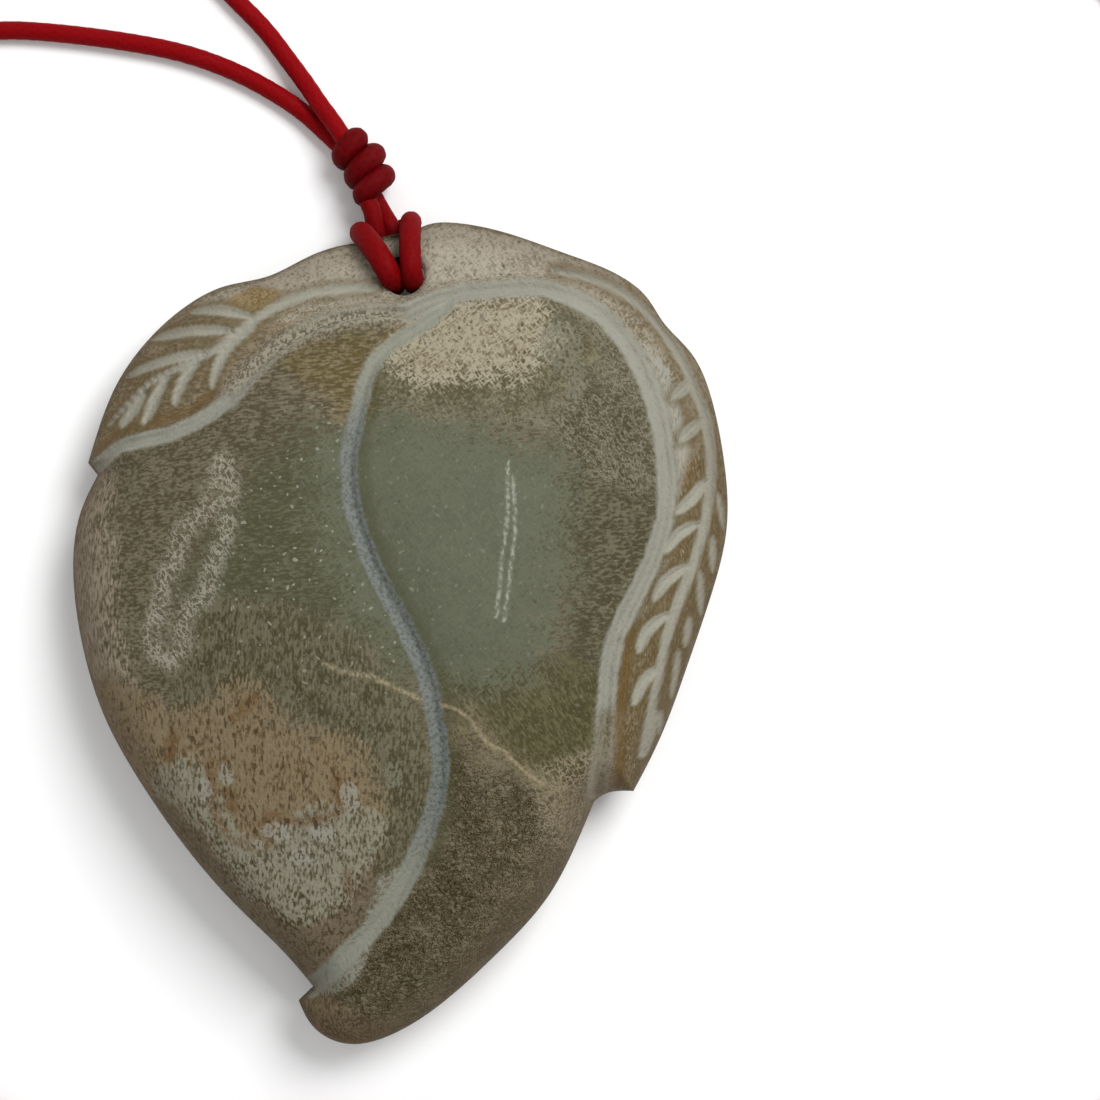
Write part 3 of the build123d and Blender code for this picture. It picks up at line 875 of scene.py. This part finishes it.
def stoneMasks(points, outline, grooved, values):
    # shares from 0 to 1 for the finish; patches get uneven edges from places that are shifted a little
    _, dust, beside = grooved
    shift = wander(points, 5.0, 11) + 0.5 * wander(points, 1.8, 13)
    masks = {}
    for name, (*_, soft, loop) in (*looks.items(), *leafLooks.items()):
        masks[name] = patch(points + 0.8 * shift, loop, soft, values)
    for name, (*_, width, lines) in strokes.items():
        place = points + 0.17 * shift
        masks[name] = np.max([stroke(place, rows, width, values) for rows in lines], axis=0)
    for name, (*_, places) in spots.items():
        masks[name] = np.max([spot(points + 0.25 * shift, *place, values) for place in places], axis=0)
    border = [grooveLine(name, values) for name in ("leftBorder", "rightBorder")]
    fruit = np.vstack([*border, lowerOutline(outline, values)])
    gap, _ = alongLine(points, np.vstack(border))
    masks["offFruit"] = ease(gap / values["leafSlope"]) * ~insideLoop(points, fruit)
    edgeGap = gapInside(points, outline)
    masks["edge"] = 1 - ease(edgeGap / values["edgeBand"])
    masks["under"] = 1 - ease(edgeGap / values["underBand"])
    masks["cleft"] = dust["cleft"]
    _, masks["along"] = alongLine(points, grooveLine("cleft", values))
    masks["border"] = np.maximum(dust["leftBorder"], dust["rightBorder"])
    veins = ("leftRib", "rightRib", "veins", "lowVeins", "outerVeins")
    masks["veins"] = np.max([dust[name] for name in veins], axis=0)
    masks["beside"] = np.max([beside[name] for name in veins], axis=0)
    return masks


def spot(points, across, up, halfWidth, halfHeight, values):
    # 1 in an ellipse round a place, 0 well outside
    middle = placed((across, up), values)
    return ease(1.8 - 1.2 * lengths((points - middle) / (halfWidth, halfHeight)))


def lowerOutline(outline, values):
    # the outline from the right leaf's notch, round the tail, to the left leaf's notch
    ends = placed([outlineStretches[1][-1], outlineStretches[4][-1]], values)
    first, last = [lengths(outline - end).argmin() for end in ends]
    return outline[first : last + 1]


def stripFaces(outer, inner):
    # faces between two closed rows of corners that run clockwise seen from above; the inner row
    # has as many corners as the outer one, or half as many
    nextOuter, nextInner = np.roll(outer, -1), np.roll(inner, -1)
    if len(outer) == len(inner):
        return [np.column_stack([outer, inner, nextInner, nextOuter])]
    even, odd, after = outer[::2], outer[1::2], nextOuter[1::2]
    return [
        np.column_stack([even, inner, odd]),
        np.column_stack([odd, inner, nextInner]),
        np.column_stack([odd, nextInner, after]),
    ]


def ringSheet(rings, picks, strides, hole, values):
    # rows of corners from the rings, the corners round the hole pushed outwards to leave room for it,
    # the faces between them, and the row of corners round the hole
    middle, radius, reach = np.array(values["holeMiddle"]), values["holeRadius"], hole["reach"]
    rows = [rings[pick][::stride] for pick, stride in zip(picks, strides)]
    numbers, start = [], 0
    for row in rows:
        numbers.append(np.arange(start, start + len(row)))
        start += len(row)
    points = np.vstack(rows + [rings[-1].mean(0)[None]])
    away = [lengths(row - middle) for row in rows]
    nearest = min(range(len(rows)), key=lambda k: away[k].min())
    column = away[nearest].argmin()
    top, bottom = nearest - hole["rows"] // 2, nearest + (hole["rows"] + 1) // 2
    left, right = column - hole["columns"] // 2, column + (hole["columns"] + 1) // 2
    loop = np.concatenate([
        numbers[top][left:right],
        [numbers[k][right] for k in range(top, bottom)],
        numbers[bottom][right:left:-1],
        [numbers[k][left] for k in range(bottom, top, -1)],
    ])
    offset = points - middle
    gap = lengths(offset)
    pushed = radius + (gap - hole["start"]) * (reach - radius) / (reach - hole["start"])
    pushed = np.where(gap < reach, pushed, gap)
    pushed[loop] = radius
    points = middle + offset * (pushed / np.maximum(gap, 1e-6))[:, None]
    faces = []
    for k in range(len(rows) - 1):
        strip = stripFaces(numbers[k], numbers[k + 1])
        if top <= k < bottom:
            strip = [np.delete(strip[0], np.arange(left, right), axis=0)]
        faces += strip
    last = numbers[-1]
    faces.append(np.column_stack([last, np.full(len(last), start), np.roll(last, -1)]))
    return points, faces, loop


def stoneShape(values):
    # front and back share the outline's row; the wall of the hole joins them inside
    rings = stoneRings(values)
    outline = rings[0]
    rimCount = len(values["rimDepths"])
    picks = list(range(len(rings)))
    shares = [1.0] * rimCount + list(np.linspace(1, 0, values["innerRings"] + 2)[1:-1])
    thinned = np.searchsorted(np.sort(values["thinning"]), shares, side="left")
    strides = [2 ** int(len(values["thinning"]) - k) for k in thinned]
    front, frontFaces, frontLoop = ringSheet(rings, picks, strides, values["frontHole"], values)
    # the back is plain, so it keeps fewer of the rings
    backPicks = [0, 2, 4, 6, 8, 10, 12, 13, *range(16, len(rings), 3)]
    backStrides = [1, 1, 1, 1, *[max(2, strides[k]) for k in backPicks[4:]]]
    back, backFaces, backLoop = ringSheet(rings, backPicks, backStrides, values["backHole"], values)
    return outline, front, frontFaces, frontLoop, back, backFaces, backLoop


def anglesAround(corners, middle):
    # the direction of each corner from the middle, carried on past a whole turn
    return np.unwrap(np.arctan2(*(corners[:, :2] - middle).T[::-1]))


def holeWall(front, frontLoop, back, backLoop, shift, start, values):
    # rows of corners down the hole; the lowest row has half as many corners as the highest
    middle = np.array(values["holeMiddle"])
    backCorners = back[backLoop - shift]
    frontCorners = front[frontLoop]
    frontAngle, backAngle = anglesAround(frontCorners, middle), anglesAround(backCorners, middle)
    turned = np.abs(np.exp(1j * backAngle) - np.exp(1j * frontAngle[0])).argmin()
    backLoop, backCorners = np.roll(backLoop, -turned), np.roll(backCorners, -turned, axis=0)
    backAngle = anglesAround(backCorners, middle)
    backAngle += 2 * pi * np.round((frontAngle[0] - backAngle[0]) / (2 * pi))
    count = len(frontLoop)
    closing = np.append(backAngle, backAngle[0] - 2 * pi)
    doubled = np.interp(np.arange(count) / 2, np.arange(len(closing)), closing)
    backLevel = np.append(backCorners[:, 2], backCorners[0, 2])
    low = np.interp(np.arange(count) / 2, np.arange(len(closing)), backLevel)
    rows, faces, above = [], [], frontLoop
    for share in np.linspace(0, 1, values["wallRows"] + 2)[1:-1]:
        angle = frontAngle + (doubled - frontAngle) * share
        height = frontCorners[:, 2] + (low - frontCorners[:, 2]) * share
        ring = middle + values["holeRadius"] * np.column_stack([np.cos(angle), np.sin(angle)])
        rows.append(np.column_stack([ring, height]))
        here = np.arange(start, start + count)
        start += count
        faces += stripFaces(above, here)
        above = here
    return np.vstack(rows), faces + stripFaces(above, backLoop)


def carveStone(values, material):
    # one closed mesh: the front's corners, the back's and the hole's, with the masks as attributes
    outline, front, frontFaces, frontLoop, back, backFaces, backLoop = stoneShape(values)
    grooved = grooveCuts(front, values)
    cuts = grooved[0]
    masks = stoneMasks(front, outline, grooved, values)
    front = np.column_stack([front, frontHeight(front, outline, cuts, masks, values)])
    back = np.column_stack([back, backHeight(back, outline, values)])
    rimCount = len(outline)
    front[:rimCount, 2] = values["belt"]
    # the back's first row is the front's, so it is left out of the corners
    shift = len(front) - rimCount
    renumber = np.concatenate([np.arange(rimCount), np.arange(rimCount, len(back)) + shift])
    backFaces = [renumber[block][:, ::-1] for block in backFaces]
    corners = np.vstack([front, back[rimCount:]])
    wall, wallFaces = holeWall(front, frontLoop, back, renumber[backLoop], shift, len(corners), values)
    corners = np.vstack([corners, wall])
    faces = frontFaces + backFaces + wallFaces
    used = np.zeros(len(corners), dtype=bool)
    for block in faces:
        used[block] = True
    order = np.cumsum(used) - 1
    piece = meshObject("carvedStone", corners[used], [order[block] for block in faces], material)
    rest = np.zeros(len(corners) - len(front))
    for name, share in masks.items():
        filler = rest + (1 if name == "under" else 0)
        giveAttribute(piece, name, np.concatenate([share, filler])[used])
    return piece


def stoneFinish(values):
    # a bed colour, and over it the looks, dots, strokes, spots, holes and dust, each by its mask
    shades = Finish("weathered stone", Specular_IOR_Level=values["shine"])
    mix, between, mask = shades.mix, shades.between, shades.mask

    def paint(code):
        return tint(code, values["gain"])

    # noise for the strokes of the looks, each the way that its name says
    size = values["strokeGrain"]
    drawn, detail = values["strokeRun"]
    line = {
        "across": shades.grain(size, (drawn, 1, 1), turn=6, detail=detail),
        "upright": shades.grain(size, (1, drawn, 1), turn=-4, detail=detail),
        "slanting": shades.grain(size, (drawn, 1, 1), turn=-58, detail=detail),
    }
    wave = shades.grain(values["waveGrain"], (1.8, 1, 1), turn=-52, detail=3.0, rough=0.6)
    line["wiggly"] = 0.75 - shades.maths("ABSOLUTE", wave - 0.5) * 6
    slant = shades.grain(0.2, (3, 1, 1), turn=42, detail=detail)
    line["crossed"] = shades.maths("MAXIMUM", line["slanting"], slant) - 0.045
    fine = shades.grain(values["fineGrain"], detail=3.0, rough=0.6)
    patina = (shades.grain(values["patinaGrain"], detail=3.0) - 0.5) * 0.35 + (fine - 0.5) * 0.35

    # each look's strokes show where their noise is high, more of them where the patina is thick, and
    # its edge breaks up along its strokes
    color = paint(values["bed"])
    for group in (looks, leafLooks):
        inner = color
        for name, (ground, pale, level, run, *_) in group.items():
            mark = between(line[run] + patina, level - 0.14, level + 0.14)
            tone = mix(mark, paint(ground), paint(pale))
            share = between(mask(name) * (3 * line[run] - 0.5), 0.3, 0.7)
            inner = mix(share, inner, tone)
        color = inner if group is looks else mix(mask("offFruit"), color, inner)
    calm = mask("clear") * (1 - mask("offFruit"))

    # scattered white dots, more on the left of the clear part
    cell = {"Scale": 1 / (values["dotCell"] * mm)}
    place = shades.add("TexCoord", output=3)
    shaken = shades.add("TexNoise", None, {"Vector": place, "Scale": 1 / (3 * mm)}, 1)
    reach = (2.5 * mm,) * 3
    place = shades.add("VectorMath", {"operation": "MULTIPLY_ADD"}, {0: shaken, 1: reach, 2: place})
    flat = {"voronoi_dimensions": "2D"}
    away = shades.add("TexVoronoi", flat, {"Vector": place, **cell}, 0)
    chance = shades.add("TexVoronoi", flat, {"Vector": place, **cell}, 1)
    dots = between(away - chance * 0.12, 0.08, 0.02) * between(chance, 0.5, 0.8)
    color = mix(dots * (0.2 + 0.6 * mask("dotted")), color, paint(values["dot"]))

    broken = {
        "upright": between(fine + (line["upright"] - 0.5) * 0.6, 0.46, 0.54),
        "wiggly": between(line["wiggly"], 0.4, 0.65),
    }
    for name, (code, strength, whole, run, *_) in strokes.items():
        share = whole + broken[run] * (1 - whole)
        color = mix(mask(name) * share * strength, color, paint(code))
    ragged = (line["upright"] + fine) * 0.5
    for name, (code, strength, *_) in spots.items():
        share = between(mask(name) * (ragged * 12 - 5), 0.3, 1.0)
        color = mix(share * strength, color, paint(code))

    # holes in the tan and cream parts
    pit = between(shades.grain(values["pitGrain"], (1, 2.2, 1), detail=1.0), 0.62, 0.69)
    pitted = shades.maths("MAXIMUM", mask("tan"), mask("lowTan"))
    pitted = pitted + mask("cream") * 0.7 + mask("neck") * mask("offFruit") * 0.5
    color = mix(pit * pitted * 0.65, color, paint(values["pit"]))

    # grooves are pale with stone dust, and beside the veins brown shade is painted
    color = mix(mask("beside") * 0.6, color, paint(values["veinShade"]))
    dusty = between(fine, 0.2, 0.5) * 0.4 + 0.6
    bluish = mix(between(fine, 0.35, 0.6), *[paint(code) for code in values["cleftDust"]])
    along = mask("along")
    ends = between(along, 0.24, 0.1) + between(along, 0.68, 0.84)
    bluish = mix(ends, bluish, paint(values["cleftEnds"]))
    color = mix(mask("cleft") * dusty, color, bluish)
    border = mask("border") * (1 - (mask("wearAndSheen") + mask("wornLow")) * 0.9)
    color = mix(border * dusty, color, paint(values["borderDust"]))
    color = mix(mask("veins") * dusty, color, paint(values["veinDust"]))
    color = mix(mask("edge") * 0.35, color, paint(values["edge"]))
    # the sides, back and a narrow band in from the outline: the colour given to them, darkened partly as
    # painted shade on the flank
    mark = between(line["crossed"] + patina, 0.38, 0.64)
    under = mix(mark, *[paint(code) for code in values["under"]])
    color = mix(mask("under"), color, under)

    rough = 0.72 - 0.2 * calm + 0.1 * fine
    height = (line["across"] + line["slanting"]) * (1 - 0.9 * calm) + 0.4 * fine - pit * pitted
    return shades.finish(color, rough, height, values["texture"])


stonePiece = carveStone(stone, stoneFinish(stone))
print("stone carved", len(stonePiece.data.polygons), "faces")

for piece, node, slot in (
    (stonePiece, "stone", "stone"),
    (hitchPiece, "hitch", "cord"),
    (knotPiece, "knot", "cord"),
    (neckPiece, "neck_cord", "cord"),
):
    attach(piece, "root")
    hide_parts(node)

# Floor and light
studio = {
    "floor": "f7f7f7",
    "floorSize": 1500.0,
    "sky": 0.62,
    "lampPlace": (230.0, 260.0, 420.0),
    "lampAim": (0.0, 0.0, 5.0),
    "lampSize": 260.0,
    "lampPower": 2.6,
}


def layFloor(values):
    # one flat face that goes on far past the view
    half = values["floorSize"] / 2
    corners = [(-half, -half, 0), (half, -half, 0), (half, half, 0), (-half, half, 0)]
    shades = Finish("floor", Roughness=0.9, Specular_IOR_Level=0.1)
    material = shades.finish(tint(values["floor"]))
    floor = meshObject("floor", corners, [np.array([[0, 1, 2, 3]])], material, smooth=False)


def light(values):
    # an even white sky, and a soft lamp behind and to the right that points at the stone
    world = bpy.data.worlds.new("studio")
    world.use_nodes = True
    world.node_tree.nodes["Background"].inputs["Color"].default_value = (1, 1, 1, 1)
    world.node_tree.nodes["Background"].inputs["Strength"].default_value = values["sky"]
    scene.world = world
    lampData = bpy.data.lights.new("window", "AREA")
    lampData.size = values["lampSize"] * mm
    lampData.energy = values["lampPower"]
    lamp = bpy.data.objects.new("window", lampData)
    place, aim = np.array(values["lampPlace"]), np.array(values["lampAim"])
    lamp.location = place * mm
    direction = (aim - place) / np.linalg.norm(aim - place)
    lamp.rotation_euler = (np.arccos(-direction[2]), 0, np.arctan2(direction[1], direction[0]) - pi / 2)
    scene.collection.objects.link(lamp)


layFloor(studio)
light(studio)
print("studio lit")
